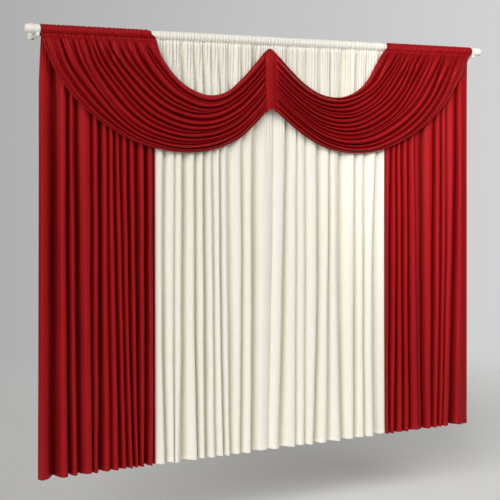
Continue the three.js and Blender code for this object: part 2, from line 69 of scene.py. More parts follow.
# Both go round the rod in rows between two angles, in degrees from straight ahead. They ruffle forward
# of a line just behind the rod's axis, bulge and slant from SLANT_TOP_Z down, and the middle panel's
# ruffles fade out within POCKET_FADE of the swags.
POCKET_BACK_ANGLE, POCKET_FRONT_ANGLE, POCKET_ROWS = 215, -56, 19
POCKET_RUFFLE, RUFFLE_BACK = 2.8, 6
SLANT_TOP_Z, SLANT_HEIGHT = 16, 26
POCKET_FADE = 12

# Colours, linear
RED = (0.268, 0.0045, 0.0065)
# The darker red that the cloth's colour moves towards with uneven dye, and as painted shade in the hollows
# of its folds and along its stitch lines
RED_DYE_AND_HOLLOW_SHADE = (0.15, 0.0025, 0.0035)
RED_GLOSS = (1.0, 0.085, 0.095)
CREAM = (0.765, 0.747, 0.693)
# The darker, yellower cream that the cloth's colour moves towards with uneven dye, and as painted shade in
# its hollows and along its stitch lines
CREAM_DYE_AND_HOLLOW_SHADE = (0.77, 0.741, 0.63)
CREAM_GLOSS = (1.0, 0.98, 0.92)
WHITE = (0.83, 0.81, 0.75)
STAGE_GREY = (0.88, 0.88, 0.87)
LAMP = (1.0, 0.985, 0.96)

# The surround's greys, and where they change, as parts of a direction of length 1: the backdrop behind
# the curtain pales from left to right, and ahead of the curtain it pales from the sides to the front
BACKDROP_DARK, BACKDROP_PALE = 0.40, 0.66
BACKDROP_LEFT, BACKDROP_RIGHT = 0.2, 0.66
BACKDROP_START, BACKDROP_FULL = -0.1, 0.5
SIDE_GREY, FRONT_GREY = 0.1, 0.2

# Folds of the panels, read at three heights on the rod's plane as they show from the eye:
# x of the front ridge, how far it stands forward, how deep the valley to its right is, and
# how far along to the next ridge that valley lies
READ_TOP, READ_MID, READ_LOW = -500, -1000, -1640
Fold = namedtuple("Fold", "top mid low stand sink at")
LEFT_FOLDS = [
    Fold(-975, -975, -978, 12, 15, 0.55),
    Fold(-895, -895, -888, 15, 12, 0.50),
    Fold(-866, -860, -853, 14, 12, 0.30),
    Fold(-800, -797, -790, 15, 7, 0.45),
    Fold(-770, -767, -770, 15, 12, 0.45),
    Fold(-732, -728, -722, 13, 4, 0.45),
    Fold(-706, -697, -684, 14, 9, 0.45),
    Fold(-680, -668, -652, 11, 6, 0.45),
    Fold(-650, -643, -625, 15, 9, 0.45),
    Fold(-620, -614, -602, 13, 11, 0.45),
    Fold(-580, -577, -579, 16, 12, 0.45),
    Fold(-545, -540, -541, 12, 7, 0.50),
]
CENTRE_FOLDS = [
    Fold(-503, -505, -494, 13, 10, 0.40),
    Fold(-451, -454, -450, 12, 4, 0.45),
    Fold(-421, -422, -432, 14, 12, 0.40),
    Fold(-365, -364, -352, 13, 11, 0.45),
    Fold(-325, -324, -318, 14, 12, 0.45),
    Fold(-288, -282, -275, 13, 5, 0.45),
    Fold(-253, -248, -236, 14, 9, 0.45),
    Fold(-224, -219, -206, 13, 8, 0.40),
    Fold(-157, -155, -160, 14, 8, 0.40),
    Fold(-107, -108, -109, 16, 16, 0.30),
    Fold(-30, -36, -42, 5, 2, 0.50),
    Fold(46, 33, 16, 13, 12, 0.40),
    Fold(105, 100, 98, 11, 4, 0.40),
    Fold(138, 140, 140, 9, 3, 0.40),
    Fold(198, 201, 186, 14, 12, 0.40),
    Fold(262, 258, 247, 14, 8, 0.45),
    Fold(294, 298, 313, 14, 10, 0.45),
    Fold(388, 386, 384, 16, 8, 0.40),
    Fold(434, 434, 438, 13, 7, 0.40),
    Fold(493, 476, 482, 15, 11, 0.45),
]
RIGHT_FOLDS = [
    Fold(575, 568, 570, 13, 10, 0.45),
    Fold(605, 605, 596, 14, 9, 0.45),
    Fold(632, 637, 640, 13, 11, 0.45),
    Fold(665, 668, 670, 14, 8, 0.45),
    Fold(706, 712, 724, 15, 2, 0.50),
    Fold(730, 733, 742, 3, 14, 0.30),
    Fold(803, 796, 795, 16, 15, 0.45),
    Fold(845, 843, 830, 14, 11, 0.45),
    Fold(876, 872, 856, 12, 5, 0.45),
    Fold(920, 905, 883, 13, 15, 0.55),
    Fold(968, 966, 958, 14, -3, 0.50),
]

# The panels' side edges: x at the heading and the three read heights, and how far back they hang.
# Panels that meet are trimmed back a little from their shared edge, and above DRAW_IN_Z the heading
# draws the cloth along the rod.
Edge = namedtuple("Edge", "head top mid low back")
OUTER_LEFT = Edge(-989, -996, -997, -999, 2)
SEAM_LEFT = Edge(-548, -528, -528, -527, 6)
SEAM_RIGHT = Edge(553, 549, 549, 551, 5)
OUTER_RIGHT = Edge(999, 999, 999, 998, -8)
SEAM_TRIM = 0.3
DRAW_IN_Z = -200

# How much of its depth a fold has at each height, where the heading shows and under the swags, and how
# many times deeper than its row says a valley is
GROWTH_Z = [HEM_Z, -1000, -520, -200, -100, -60, -34, SEAM_Z]
SHOWN_GROWTH = [1.1, 1.0, 0.88, 0.64, 0.58, 0.5, 0.35, 0.1]
HIDDEN_GROWTH = [1.1, 1.0, 0.88, 0.6, 0.42, 0.22, 0.08, 0.04]
VALLEY_DEPTH = 2.3

# How a ridge sways sideways and its depth swells on the way down: amount, pitch and where it starts
SWAY, SWAY_PITCH, SWAY_START = 1.6, 900, 400
SWELL, RIDGE_SWELL_PITCH, VALLEY_SWELL_PITCH = 0.14, 1100, 1000

# How far the cloth stands forward under the heading, and how soon it falls back to the rod's plane
HEADING_FORWARD, HEADING_RUFFLE, HEADING_REACH, HEADING_BEND = 4, 5, 60, 5

# Gathers under the heading and faint streaks below them: pitch, depth, and share of it at each height
Gather = namedtuple("Gather", "pitch depth heights shares")
FINE = Gather(13, 6.6, [-500, -300, -180, -60, -30, SEAM_Z], [0, 0.3, 0.65, 1, 1, 0.65])
BROAD = Gather(27, 1.4, [-620, -300, -120, -50, SEAM_Z], [0, 0.7, 1, 0.6, 0])
STREAK = Gather(8.5, 0.3, [HEM_Z, -1200, -300, -60], [0.2, 0.7, 1, 0])
FINE_SHIFT = 1.6
OUTER_GATHER = 0.2

# A gather's drift along the cloth as (amount, share of its pitch), and its depth's mean and drift
GATHER_DRIFTS = ((2.6, 7.3), (1.1, 2.9))
GATHER_DEPTH, GATHER_DEPTH_DRIFT, GATHER_DEPTH_PITCH = 0.72, 0.28, 4.1
GATHER_NARROW = 3

# The hem: its folded edge's step in the cloth, and how unevenly it hangs
HEM_STEP_Z = [HEM_Z, -1680, -1673, HEM_Z + HEM_DEPTH, -1667]
HEM_STEP = [-0.7, -0.7, -0.5, 0.6, 0]
HEM_UNEVEN, HEM_UNEVEN_PITCH, HEM_UNEVEN_TOP = 1.8, 75, -1560

# Spacing of the points across the folds, and how round the folds are
PANEL_STEP, PANEL_ROUND = 1.75, 2.3
SWAG_STEP, SWAG_ROUND = 1.5, 2.7
SOFTEN_PASSES = 2

# Heights of the panels' rows of points, closest where the cloth bends most
PANEL_Z = np.array(
    [SEAM_Z, -24, -28, -33, -39, -46, -54, -64, -76, -90, -106, -124, -145, -170, -200, -235, -275, -320,
     -370, -430, -500, -575, -650, -730, -810, -890, -970, -1050, -1130, -1210, -1290, -1370, -1440,
     -1505, -1560, -1605, -1640, -1662, -1668, -1670, -1672, -1680, -1688, HEM_Z], float)

# Small creases between the main folds: x at the three heights, width and depth
Crease = namedtuple("Crease", "top mid low width depth")
CENTRE_CREASES = [
    Crease(-395, -396, -398, 9, 1.6),
    Crease(-188, -190, -186, 7, 3.0),
    Crease(-60, -66, -74, 16, 1.2),
    Crease(10, 0, -14, 14, 1.0),
    Crease(160, 158, 152, 14, 2.5),
    Crease(330, 322, 338, 12, 4.0),
    Crease(352, 350, 360, 9, 1.5),
    Crease(480, 462, 468, 8, 1.5),
    Crease(520, 522, 520, 10, 2.0),
]
LEFT_CREASES = [
    Crease(-991, -993, -994, 5, 2.5),
    Crease(-948, -946, -945, 22, 2.0),
    Crease(-915, -918, -915, 16, 1.5),
    Crease(-828, -826, -820, 12, 1.5),
    Crease(-594, -592, -588, 9, 1.5),
]
RIGHT_CREASES = [
    Crease(585, 586, 583, 7, 2.0),
    Crease(684, 690, 698, 9, 2.0),
    Crease(772, 770, 776, 16, 1.5),
    Crease(900, 888, 868, 10, 2.5),
    Crease(985, 984, 980, 12, 1.2),
    Crease(995, 995, 994, 5, 2.5),
]

# The swags' edges at stations from the rod (0) to the middle (11), as they show from the eye
Station = namedtuple("Station", "upper_x upper_z lower_x lower_z")
LEFT_STATIONS = [
    Station(-520, -22, -985, -22),
    Station(-512, -50, -968, -75),
    Station(-497, -84, -932, -158),
    Station(-470, -124, -850, -262),
    Station(-425, -172, -740, -352),
    Station(-365, -211, -610, -420),
    Station(-290, -231, -450, -459),
    Station(-215, -215, -300, -455),
    Station(-150, -164, -170, -412),
    Station(-90, -102, -88, -348),
    Station(-44, -50, -44, -304),
    Station(-26, -36, -26, -289),
]
RIGHT_STATIONS = [
    Station(543, -22, 1012, -22),
    Station(520, -55, 990, -72),
    Station(492, -100, 945, -150),
    Station(465, -143, 880, -240),
    Station(425, -184, 790, -324),
    Station(370, -214, 680, -393),
    Station(305, -226, 540, -448),
    Station(225, -212, 400, -464),
    Station(150, -172, 260, -444),
    Station(85, -118, 140, -386),
    Station(26, -62, 30, -305),
    Station(4, -42, 6, -286),
]

# Where the swags' rows of points lie, from station 0 to 11, closer towards the two ends
SWAG_PLACES = np.concatenate(
    [np.linspace(0, 1.5, 22)[:-1], np.linspace(1.5, 9, 50)[:-1], np.linspace(9, 11, 26)])

# How much of its depth a pleat has at each place
PLEAT_GROWTH_PLACE = [0, 0.4, 1, 2, 8.5, 9.5, 10, 10.2, 10.4, 11]
PLEAT_GROWTH_SHARE = [0.25, 0.6, 0.85, 1, 1, 0.9, 0.6, 0.25, 0.08, 0.04]

# The swags' long edges: how far they curl back and within what width, and the groove of the hem's
# stitches with its depth in the cloth and its half width; none of it near the two ends
SWAG_CURL, SWAG_CURL_REACH = 5, 12
SWAG_HEM_DEPTH, SWAG_HEM_GROOVE, SWAG_HEM_WIDTH = 8, 0.8, 1.6
SWAG_EDGE_PLACE, SWAG_EDGE_SHARE = [0.3, 1.5, 9, 10], [0, 1, 1, 0]

# Gathers below the pocket and before the tab: depth, and share of it at each place
START_DEPTH, START_MEAN = 5, 0.6
START_PLACE, START_SHARE = [0, 0.25, 1.2, 2.6], [0.6, 1, 0.8, 0]
END_DEPTH, END_PITCH = 0.8, 11
END_PLACE, END_SHARE = [8.6, 9.8, 10.3, 11], [0, 0.9, 0.3, 0.3]

# The pleats' drift down the swag and the swell of their ridges and creases: amount and pitch in stations
PLEAT_DRIFT, PLEAT_DRIFT_PITCH = 0.004, 5.3
STAND_SWELL, STAND_SWELL_PITCH = 0.15, 6.1
SINK_SWELL, SINK_SWELL_PITCH = 0.2, 4.7

# Pleats of the swags from the upper edge (0) to the lower edge (1) at five of the stations:
# the ridge, the crease below it, how far the ridge stands and the crease sinks, and how much
# of the pleat there is at each of the five
READ_STATIONS = [1, 3, 5, 7, 9]
ALL = (1, 1, 1, 1, 1)
Pleat = namedtuple("Pleat", "ridge crease stand sink there")
LEFT_PLEATS = [
    Pleat((0.02, 0.02, 0.04, 0.06, 0.08), (0.095, 0.065, 0.08, 0.13, 0.17), 6, 6, ALL),
    Pleat((0.104, 0.08, 0.095, 0.145, 0.185), (0.115, 0.1, 0.112, 0.16, 0.195), 5, 5, (1, 1, 1, 0, 0)),
    Pleat((0.135, 0.12, 0.145, 0.19, 0.22), (0.195, 0.19, 0.205, 0.245, 0.27), 7, 8, ALL),
    Pleat((0.235, 0.225, 0.235, 0.275, 0.3), (0.285, 0.26, 0.268, 0.29, 0.31), 7, 6, (1, 1, 1, 0.6, 0.3)),
    Pleat((0.32, 0.285, 0.29, 0.305, 0.33), (0.35, 0.31, 0.335, 0.325, 0.35), 7, 6, ALL),
    Pleat((0.4, 0.36, 0.365, 0.375, 0.4), (0.425, 0.39, 0.42, 0.44, 0.45), 7, 8, ALL),
    Pleat((0.45, 0.425, 0.46, 0.51, 0.535), (0.475, 0.46, 0.51, 0.55, 0.57), 7, 6, ALL),
    Pleat((0.51, 0.49, 0.545, 0.59, 0.595), (0.545, 0.52, 0.595, 0.64, 0.62), 7, 8, ALL),
    Pleat((0.57, 0.55, 0.62, 0.655, 0.64), (0.59, 0.575, 0.66, 0.67, 0.655), 6, 5, ALL),
    Pleat((0.605, 0.6, 0.69, 0.7, 0.69), (0.625, 0.645, 0.73, 0.76, 0.745), 7, 7, ALL),
    Pleat((0.66, 0.685, 0.76, 0.79, 0.82), (0.7, 0.72, 0.805, 0.82, 0.835), 7, 5, (0.4, 0.4, 1, 1, 0.4)),
    Pleat((0.715, 0.74, 0.83, 0.835, 0.845), (0.745, 0.765, 0.855, 0.86, 0.856), 7, 8, ALL),
    Pleat((0.8, 0.785, 0.88, 0.885, 0.875), (0.855, 0.85, 0.91, 0.94, 0.905), 7, 7, ALL),
    Pleat((0.875, 0.87, 0.935, 0.955, 0.94), (0.905, 0.915, 0.955, 0.97, 0.96), 7, 5, ALL),
    Pleat((0.935, 0.95, 0.972, 0.983, 0.978), (0.97, 0.975, 0.985, 0.99, 0.988), 5, 1, ALL),
]
RIGHT_PLEATS = [
    Pleat((0.03, 0.035, 0.02, 0.015, 0.015), (0.075, 0.075, 0.045, 0.03, 0.03), 5, 5, ALL),
    Pleat((0.13, 0.12, 0.075, 0.065, 0.09), (0.17, 0.135, 0.105, 0.13, 0.15), 7, 6, ALL),
    Pleat((0.2, 0.15, 0.13, 0.17, 0.22), (0.215, 0.185, 0.17, 0.21, 0.26), 7, 7, ALL),
    Pleat((0.235, 0.205, 0.21, 0.24, 0.285), (0.25, 0.225, 0.25, 0.28, 0.31), 6, 8, (0.5, 0.7, 1, 1, 0.5)),
    Pleat((0.262, 0.245, 0.28, 0.32, 0.335), (0.28, 0.27, 0.305, 0.335, 0.35), 6, 6, ALL),
    Pleat((0.3, 0.3, 0.325, 0.36, 0.362), (0.33, 0.33, 0.35, 0.4, 0.385), 7, 8, ALL),
    Pleat((0.35, 0.36, 0.37, 0.43, 0.42), (0.37, 0.385, 0.42, 0.49, 0.475), 7, 6, ALL),
    Pleat((0.4, 0.41, 0.45, 0.525, 0.505), (0.43, 0.46, 0.485, 0.565, 0.545), 7, 7, ALL),
    Pleat((0.45, 0.475, 0.51, 0.59, 0.565), (0.5, 0.5, 0.575, 0.63, 0.585), 7, 8, ALL),
    Pleat((0.525, 0.525, 0.6, 0.655, 0.605), (0.555, 0.56, 0.63, 0.695, 0.64), 7, 6, ALL),
    Pleat((0.575, 0.585, 0.645, 0.71, 0.67), (0.6, 0.615, 0.66, 0.725, 0.685), 6, 5, (1, 1, 1, 0.6, 0.4)),
    Pleat((0.63, 0.64, 0.675, 0.74, 0.7), (0.675, 0.68, 0.705, 0.765, 0.715), 7, 7, ALL),
    Pleat((0.69, 0.725, 0.76, 0.79, 0.735), (0.715, 0.765, 0.81, 0.86, 0.79), 7, 9, ALL),
    Pleat((0.77, 0.8, 0.845, 0.875, 0.805), (0.81, 0.84, 0.875, 0.905, 0.825), 7, 6, ALL),
    Pleat((0.845, 0.86, 0.92, 0.935, 0.865), (0.865, 0.915, 0.955, 0.965, 0.9), 8, 6, ALL),
    Pleat((0.9, 0.945, 0.97, 0.978, 0.945), (0.96, 0.98, 0.985, 0.99, 0.98), 5, 1, ALL),
]

# Depth of the pleats, less where they lie closer than the full width, and how far the long edges
# stand forward
PLEAT_DEPTH = 1.9
PLEAT_FULL_WIDTH = 20
SWAG_EDGE_STAND = 2

# The ends of the swags' own rod pockets: x of the inner end on top and at the seam, and of the outer end
PocketEnds = namedtuple("PocketEnds", "inner_top inner_seam outer")
LEFT_SWAG_POCKET = PocketEnds(-558, -530, -993)
RIGHT_SWAG_POCKET = PocketEnds(567, 543, 1015)

# How far forward the swags hang at their top and in full, and how soon below the top they do
HANG_TOP_Y, HANG_FULL_Y = -91, -112
HANG_TOP_Z, HANG_REACH = -22, 40

# The tab in the middle: its edges across its width, and how far it is crowned
TabColumn = namedtuple("TabColumn", "upper_x lower_x upper_z lower_z crown")
TAB_COLUMNS = [
    TabColumn(-37, -32, -45, -297, 1.3),
    TabColumn(-28, -22, -36, -288, 3.6),
    TabColumn(-17, -10, -31, -281, 4.6),
    TabColumn(-4, 3, -36, -284, 3.6),
    TabColumn(9, 15, -48, -296, 0),
]

# How far the tab stands off the swags, its points, its flatter top, and its puckers, which slant
# down to its sides: depth and pitch
TAB_PROUD = 3.6
TAB_ACROSS, TAB_DOWN = 45, 150
TAB_TOP_DROP, TAB_TOP_REACH = 0.5, 0.03
TAB_SLANT = 14
TAB_PUCKER, TAB_PUCKER_PITCH = 0.55, 13
TAB_STREAK, TAB_STREAK_PITCH = 0.25, 9
TAB_SEED = 301

# Lines of stitches: how far from the edge of the cloth, half their width and their depth, in metres
HEM_LINE, SIDE_LINE, SWAG_LINE, TAB_LINE = 0.02, 0.01, 0.008, 0.003
STITCH_WIDTH, STITCH_DEPTH = 0.0013, 0.0006

# The knit: scale of its wales, its courses and the stitches' slant, and its depth in metres
WALES, COURSES, STITCHES = 290, 370, 100
KNIT_DEPTH = 0.00025

# How the painted shade in the hollows is found: points looked at on each side, full depth, and how it sets
# in
RECESS_STEPS, RECESS_DEPTH, RECESS_CURVE = 13, 18, 1.4

# Pieces carried over from the CAD: points this many metres apart are joined, and edges over this
# angle stay sharp
WELD, SHARP_DEGREES = 0.00002, 31

# Lamps. The far one: the side it shines from, its width in degrees and its strength. Area lamps: place
# and target in metres, size and power. The spot: place, target, radius, cone in degrees and power.
FAR_LAMP = ((-2.6, -2.2, 1.3), 46, 2.25)
FRONT_LAMP = ((-0.2, -4.6, 2.0), (-0.3, -0.1, -0.7), 2.6, 64)
RIGHT_LAMP = ((1.6, -3.0, 1.5), (1.1, -0.1, -0.5), 1.6, 30)
RIGHT_SPOT = ((-0.9, -2.6, 0.5), (1.18, -0.1, -0.6), 0.25, 33, 210)


def at_depth(seen, eye, y):
    """Moves a place read on the rod's plane along its line of sight to its real depth."""
    return eye + (seen - eye) * (y - EYE.y) / (ROD_Y - EYE.y)


def through(rows, places):
    """A smooth curve through evenly spaced rows of values, read at fractional places."""
    rows = np.asarray(rows, float)
    places = np.clip(places, 0, len(rows) - 1)
    i = np.minimum(places.astype(int), len(rows) - 2)
    t = places - i
    a = rows[np.maximum(i - 1, 0)]
    b = rows[i]
    c = rows[i + 1]
    d = rows[np.minimum(i + 2, len(rows) - 1)]
    t = t.reshape(t.shape + (1,) * (rows.ndim - 1))
    curve = (2 * a - 5 * b + 4 * c - d) + (3 * b - 3 * c + d - a) * t
    return b + 0.5 * t * ((c - a) + t * curve)


def wander(places, pitch, seed):
    """A slow, smooth, repeatable drift between -1 and 1 along the places."""
    chance = random.Random(seed)
    places = np.asarray(places, float)
    total = np.zeros_like(places)
    for octave in (1, 1.7, 2.9):
        total += np.sin(places * 2 * math.pi * octave / pitch + chance.uniform(0, 2 * math.pi)) / octave
    return total / 2


def gathers(x, pitch, seed):
    """Rounded gathers with narrow dips between them, at uneven pitch and depth, from -1 to 1."""
    turn = 2 * math.pi * x / pitch
    for i, (amount, stretch) in enumerate(GATHER_DRIFTS):
        turn = turn + amount * wander(x, pitch * stretch, seed + i)
    round_top = 1 - 2 * np.abs(np.cos(turn / 2)) ** GATHER_NARROW
    return round_top * (GATHER_DEPTH + GATHER_DEPTH_DRIFT * wander(x, pitch * GATHER_DEPTH_PITCH, seed + 2))


def swelling(places, amount, pitch, seed):
    """A factor that drifts by the amount on both sides of 1."""
    return 1 + amount * wander(places, pitch, seed)


def soften(grid):
    """Rounds the sharpest bends along each row of points."""
    for _ in range(SOFTEN_PASSES):
        middle = grid[:, 1:-1].copy()
        grid[:, 1:-1] = middle + 0.25 * (grid[:, :-2] - 2 * middle + grid[:, 2:])
    return grid


def arched(anchors, counts, roundness):
    """Joins valley, ridge, valley ... anchors (rows, anchors, 3) by arches that are round at the ridges
    and narrow at the valleys. counts says how many steps each stretch gets."""
    parts = []
    for k, count in enumerate(counts):
        t = np.linspace(0, 1, count, endpoint=False)
        rising = k % 2 == 0
        share = 1 - (1 - t) ** roundness if rising else t ** roundness
        start, end = anchors[:, k:k + 1], anchors[:, k + 1:k + 2]
        part = start + (end - start) * t[None, :, None]
        part[:, :, 1] = start[:, :, 1] + (end - start)[:, :, 1] * share[None, :]
        parts.append(part)
    parts.append(anchors[:, -1:])
    return np.concatenate(parts, axis=1)


def pocket_rows(pocket, pucker_x, line_x, shows, seed):
    """Rows of points of a rod pocket, from its tail behind the rod over the top to the seam in front.
    line_x gives the points' x at a share of the way down the front, and shows is 0 where the pocket
    doesn't ruffle."""
    angles = np.radians(np.linspace(POCKET_BACK_ANGLE, POCKET_FRONT_ANGLE, POCKET_ROWS))
    row_y = np.concatenate([[ROD_Y + pocket.tail_y], ROD_Y - pocket.radius * np.cos(angles)])
    row_z = np.concatenate([[pocket.tail_z], pocket.radius * np.sin(angles)])
    pucker = 0.5 + 0.5 * gathers(pucker_x, pocket.pitch, seed)
    rows = []
    for y, z in zip(row_y, row_z):
        near_seam = np.clip((SLANT_TOP_Z - z) / SLANT_HEIGHT, 0, 1) if y < ROD_Y else 0
        out = pucker * (POCKET_RUFFLE + pocket.bulge * near_seam) * shows * (y < ROD_Y + RUFFLE_BACK)
        growth = 1 + out / math.hypot(y - ROD_Y, z)
        rows.append(np.stack([line_x(near_seam), ROD_Y + (y - ROD_Y) * growth, z * growth], 1))
    return np.array(rows)


def read_heights(row, z):
    """x of a fold, crease or edge at each height, on a smooth curve through its read places."""
    span_top, span_low = READ_TOP - READ_MID, READ_MID - READ_LOW
    slope_top = (row.top - row.mid) / span_top
    slope_low = (row.mid - row.low) / span_low
    slope_mid = 0.5 * (slope_top + slope_low)
    down = np.clip(READ_MID - z, 0, None)
    up = np.clip(z - READ_MID, 0, span_top)
    above = row.mid + slope_mid * up + (slope_top - slope_mid) * up ** 2 / span_top
    below = row.mid - slope_mid * down - (slope_low - slope_mid) * down ** 2 / span_low
    return np.where(z > READ_MID, above, below)


def drawn_in(edge, z):
    """How far a panel's edge is pulled along the rod at each height near the heading."""
    return (edge.head - edge.top) * np.clip((z - DRAW_IN_Z) / (SEAM_Z - DRAW_IN_Z), 0, 1)


def panel_anchors(folds, left, right, trims, share, heading_shows, seed):
    """The lines down a panel along which it bends: its left edge, each ridge and valley, its right edge."""
    z = PANEL_Z
    edge_share = np.interp(z, GROWTH_Z, HIDDEN_GROWTH)
    below = z - SEAM_Z
    fall = ROD_Y - HEADING_FORWARD * np.exp(below / HEADING_REACH)
    if heading_shows:
        fall -= HEADING_RUFFLE * (np.exp(below / HEADING_REACH) - np.exp(below / HEADING_BEND))

    def edge_line(row, trim):
        y = ROD_Y + edge_share * row.back
        x = at_depth(read_heights(row, z) + drawn_in(row, z), EYE.x, y) + trim
        return np.stack([x, fall + edge_share * row.back, z], 1)

    ridges = []
    for i, fold in enumerate(folds):
        sway = SWAY * wander(z, SWAY_PITCH, seed + i) * np.clip(-below / SWAY_START, 0, 1)
        y = ROD_Y - share * fold.stand * swelling(z, SWELL, RIDGE_SWELL_PITCH, seed + 50 + i)
        along = (fold.top - left.top) / (right.top - left.top)
        pull = (1 - along) * drawn_in(left, z) + along * drawn_in(right, z)
        ridges.append((at_depth(read_heights(fold, z) + pull + sway, EYE.x, y), y))
    lines = [edge_line(left, trims[0])]
    last = edge_line(right, trims[1])
    for i, fold in enumerate(folds):
        x, y = ridges[i]
        next_x = ridges[i + 1][0] if i + 1 < len(folds) else last[:, 0]
        lines.append(np.stack([x, y + fall - ROD_Y, z], 1))
        swell = swelling(z, SWELL, VALLEY_SWELL_PITCH, seed + 90 + i)
        valley_y = fall + share * VALLEY_DEPTH * fold.sink * swell
        lines.append(np.stack([x + (next_x - x) * fold.at, valley_y, z], 1))
    return np.stack(lines + [last], 1)


def panel_relief(x, creases, share, gather, seed):
    """The depth of a panel's small creases, gathers, streaks and hem step at every point."""
    z = PANEL_Z
    depth = np.zeros_like(x)
    for crease in creases:
        line = at_depth(read_heights(crease, z), EYE.x, ROD_Y)[:, None]
        depth += crease.depth * np.exp(-((x - line) / (crease.width / 2)) ** 2) * share[:, None]
    fine, broad, streak = (np.interp(z, kind.heights, kind.shares)[:, None]
                           for kind in (FINE, BROAD, STREAK))
    fine_depth = fine * (FINE.depth * gathers(x, FINE.pitch, seed + 7) - FINE_SHIFT)
    depth -= gather * (fine_depth + BROAD.depth * broad * gathers(x, BROAD.pitch, seed + 8))
    depth -= STREAK.depth * streak * gathers(x, STREAK.pitch, seed + 9)
    return depth + np.interp(z, HEM_STEP_Z, HEM_STEP)[:, None]


def panel_grid(folds, creases, left, right, trims, gather, seed):
    """Points of one panel: its pocket rows, then its folds down to the hem. gather is 1 for the panel
    whose heading shows, and less for the two that the swags cover."""
    z = PANEL_Z
    heading_shows = gather == 1
    share = np.interp(z, GROWTH_Z, SHOWN_GROWTH if heading_shows else HIDDEN_GROWTH)
    anchors = panel_anchors(folds, left, right, trims, share, heading_shows, seed)
    widths = np.diff(anchors[:, :, 0], axis=1).mean(0)
    counts = [int(max(5, round(abs(width) / PANEL_STEP))) for width in widths]
    body = soften(arched(anchors, counts, PANEL_ROUND))
    x = body[:, :, 0]
    body[:, :, 1] += panel_relief(x, creases, share, gather, seed)
    low = np.clip((HEM_UNEVEN_TOP - z) / (HEM_UNEVEN_TOP - HEM_Z), 0, 1)[:, None]
    body[:, :, 2] += HEM_UNEVEN * low * (1 + wander(x, HEM_UNEVEN_PITCH, seed + 11))
    top_x = x[0]
    pocket = pocket_rows(PANEL_POCKET, top_x, lambda near_seam: top_x, shown(top_x), seed + 7)
    return np.concatenate([pocket, body], 0)


def shown(x):
    """1 where the pocket shows between the swags, 0 under them."""
    inside = np.minimum(x - LEFT_SWAG_POCKET.inner_seam, RIGHT_SWAG_POCKET.inner_seam - x)
    return np.clip(inside / POCKET_FADE, 0, 1)


def hollow_shade(grid, axis):
    """How deep each point lies behind the fronts of the folds beside it, from 0 to 1; it darkens the
    cloth's colour as painted shade.
    """
    y = grid[:, :, 1]
    front = y.copy()
    for step in range(1, RECESS_STEPS):
        for shift in (step, -step):
            beside = np.roll(y, shift, axis)
            edge = [slice(None), slice(None)]
            edge[axis] = slice(0, shift) if shift > 0 else slice(shift, None)
            beside[tuple(edge)] = y[tuple(edge)]
            front = np.minimum(front, beside)
    return np.clip((y - front) / RECESS_DEPTH, 0, 1) ** RECESS_CURVE


def stitch_distance(u, v, lines):
    """Distance in metres from the nearest line of stitches, which run across (v) or down (u) the cloth."""
    nearest = np.ones((len(v), len(u)))
    for axis, place in lines:
        along = u[None, :] if axis == "u" else v[:, None]
        end = u[-1] if axis == "u" else v[-1]
        gap = np.broadcast_to(along - (place if place > 0 else end + place), nearest.shape)
        nearest = np.where(np.abs(gap) < np.abs(nearest), gap, nearest)
    return nearest


def cloth_piece(name, grid, material, lines, fold_axis=1):
    """A sheet of cloth through a grid of points, with a map of its developed width and length in metres."""
    rows, columns = grid.shape[:2]
    points = grid.reshape(-1, 3) * MM
    index = np.arange(rows * columns).reshape(rows, columns)
    faces = np.stack([index[:-1, :-1], index[1:, :-1], index[1:, 1:], index[:-1, 1:]], -1).reshape(-1, 4)
    mesh = bpy.data.meshes.new(name)
    mesh.from_pydata(points.tolist(), [], faces.tolist())
    across = np.linalg.norm(np.diff(grid, axis=1), axis=2).mean(0)
    down = np.linalg.norm(np.diff(grid, axis=0), axis=2).mean(1)
    u = np.concatenate([[0], np.cumsum(across)]) * MM
    v = np.concatenate([[0], np.cumsum(down)]) * MM
    uv = np.stack(np.broadcast_arrays(u[None, :], v[:, None]), -1).reshape(-1, 2)
    layer = mesh.uv_layers.new(name="Cloth")
    layer.data.foreach_set("uv", uv[faces.reshape(-1)].astype(np.float32).reshape(-1))
    # The hollows' depth, which darkens the colour as painted shade, and the distance from the lines of
    # stitches
    for title, values in (("hollow_shade", hollow_shade(grid, fold_axis)), ("stitch", stitch_distance(u, v, lines))):
        attribute = mesh.attributes.new(title, "FLOAT", "POINT")
        attribute.data.foreach_set("value", values.astype(np.float32).reshape(-1))
    mesh.polygons.foreach_set("use_smooth", [True] * len(mesh.polygons))
    mesh.update()
    piece = bpy.data.objects.new(name, mesh)
    bpy.context.scene.collection.objects.link(piece)
    mesh.materials.append(material)
    solid = piece.modifiers.new("Thickness", "SOLIDIFY")
    solid.thickness = CLOTH * MM
    solid.offset = 0
    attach(piece, "root")
    print(f"{name}: cut about {u[-1]:.3f} by {v[-1]:.3f} m, {2 * len(faces)} quads")
    return piece


def read_pleat(values, places):
    """A pleat's place or share at every station, clamped before the first and after the last read one."""
    step = READ_STATIONS[1] - READ_STATIONS[0]
    return through(values, (np.asarray(places) - READ_STATIONS[0]) / step)


def hang_y(z):
    """y of the swags' cloth at a height, before its pleats."""
    return HANG_FULL_Y + (HANG_TOP_Y - HANG_FULL_Y) * np.exp(np.minimum(0, (z - HANG_TOP_Z) / HANG_REACH))


